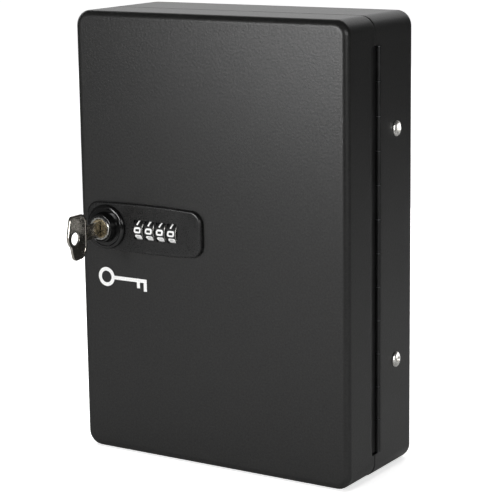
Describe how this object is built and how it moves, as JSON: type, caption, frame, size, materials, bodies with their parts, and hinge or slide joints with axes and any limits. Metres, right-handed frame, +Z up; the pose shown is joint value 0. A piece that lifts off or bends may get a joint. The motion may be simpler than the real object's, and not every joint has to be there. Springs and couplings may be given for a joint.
{
  "type": "key cabinet",
  "caption": "Upright steel key cabinet with a hinged door, rows of key hooks inside, and a combination dial lock with a turning knob and override key.",
  "frame": {"origin": "centre of the rear pan's flat base, at the surface that the cabinet stands on", "axes": "+X to the right seen from the front (hinge side), +Y from the door into the cabinet towards the wall, +Z up"},
  "size_m": [0.2116, 0.1331, 0.3],
  "materials": {
    "powder_coat": "fine-textured black powder coat",
    "lock_black": "smooth semi-gloss black",
    "dial_black": "satin black with white digits",
    "nickel": "nickel plated",
    "brass": "machined brass",
    "zinc": "zinc plated",
    "spring_steel": "bright drawn steel",
    "black_plastic": "moulded matte black"
  },
  "bodies": {
    "cabinet": {"body_shell": "powder_coat", "hinge_leaf_body": "powder_coat", "hinge_pin": "spring_steel", "hook_panel": "powder_coat", "hook_rail_1": "zinc", "hook_rail_2": "zinc", "hook_rail_3": "zinc", "hook_rail_4": "zinc", "hook_rail_5": "zinc", "panel_screw_right_lower": "nickel", "panel_screw_right_upper": "nickel", "panel_screw_left_lower": "nickel", "panel_screw_left_upper": "nickel", "panel_nut_right_lower": "zinc", "panel_nut_right_upper": "zinc", "panel_nut_left_lower": "zinc", "panel_nut_left_upper": "zinc"},
    "door": {"door_shell": "powder_coat", "hinge_leaf_door": "powder_coat", "lock_faceplate": "lock_black", "lock_housing": "zinc", "lock_rear_cover": "black_plastic", "cover_screw_1": "zinc", "cover_screw_2": "zinc", "faceplate_screw_1": "zinc", "faceplate_screw_2": "zinc", "dial_axle": "spring_steel", "detent_spring": "spring_steel", "fence_bar": "zinc", "fence_spring_left": "spring_steel", "fence_spring_right": "spring_steel"},
    "dial_wheel_1": {"dial_1": "dial_black", "code_disc_1": "brass"},
    "dial_wheel_2": {"dial_2": "dial_black", "code_disc_2": "brass"},
    "dial_wheel_3": {"dial_3": "dial_black", "code_disc_3": "brass"},
    "dial_wheel_4": {"dial_4": "dial_black", "code_disc_4": "brass"},
    "knob_assembly": {"knob": "lock_black", "cam_spacer": "zinc", "latch_cam": "zinc", "cam_washer": "zinc", "cam_nut": "zinc"},
    "plug": {"cylinder_plug": "brass"},
    "key": {"key": "nickel"},
    "code_change_button": {"code_button": "black_plastic", "code_button_spring": "spring_steel"}
  },
  "joints": [
    {"name": "door_hinge", "type": "hinge", "parent": "cabinet", "child": "door", "pos_m": [0.1029, -0.0206, 0.1495], "axis": [0, 0, 1], "range_deg": [0, 135]},
    {"name": "dial_1_turn", "type": "hinge", "parent": "door", "child": "dial_wheel_1", "pos_m": [-0.0533, -0.057, 0.1568], "axis": [1, 0, 0], "continuous": true},
    {"name": "dial_2_turn", "type": "hinge", "parent": "door", "child": "dial_wheel_2", "pos_m": [-0.0444, -0.057, 0.1568], "axis": [1, 0, 0], "continuous": true},
    {"name": "dial_3_turn", "type": "hinge", "parent": "door", "child": "dial_wheel_3", "pos_m": [-0.0355, -0.057, 0.1568], "axis": [1, 0, 0], "continuous": true},
    {"name": "dial_4_turn", "type": "hinge", "parent": "door", "child": "dial_wheel_4", "pos_m": [-0.0266, -0.057, 0.1568], "axis": [1, 0, 0], "continuous": true},
    {"name": "knob_turn", "type": "hinge", "parent": "door", "child": "knob_assembly", "pos_m": [-0.0793, -0.057, 0.1568], "axis": [0, -1, 0], "range_deg": [0, 90]},
    {"name": "plug_turn", "type": "hinge", "parent": "knob_assembly", "child": "plug", "pos_m": [-0.0793, -0.057, 0.1568], "axis": [0, 1, 0], "range_deg": [0, 90]},
    {"name": "key_slide", "type": "slide", "parent": "plug", "child": "key", "axis": [0, -1, 0], "range_m": [0, 0.026]},
    {"name": "code_button_press", "type": "slide", "parent": "door", "child": "code_change_button", "axis": [0, -1, 0], "range_m": [0, 0.0015], "stiffness_N_per_m": 200}
  ]
}
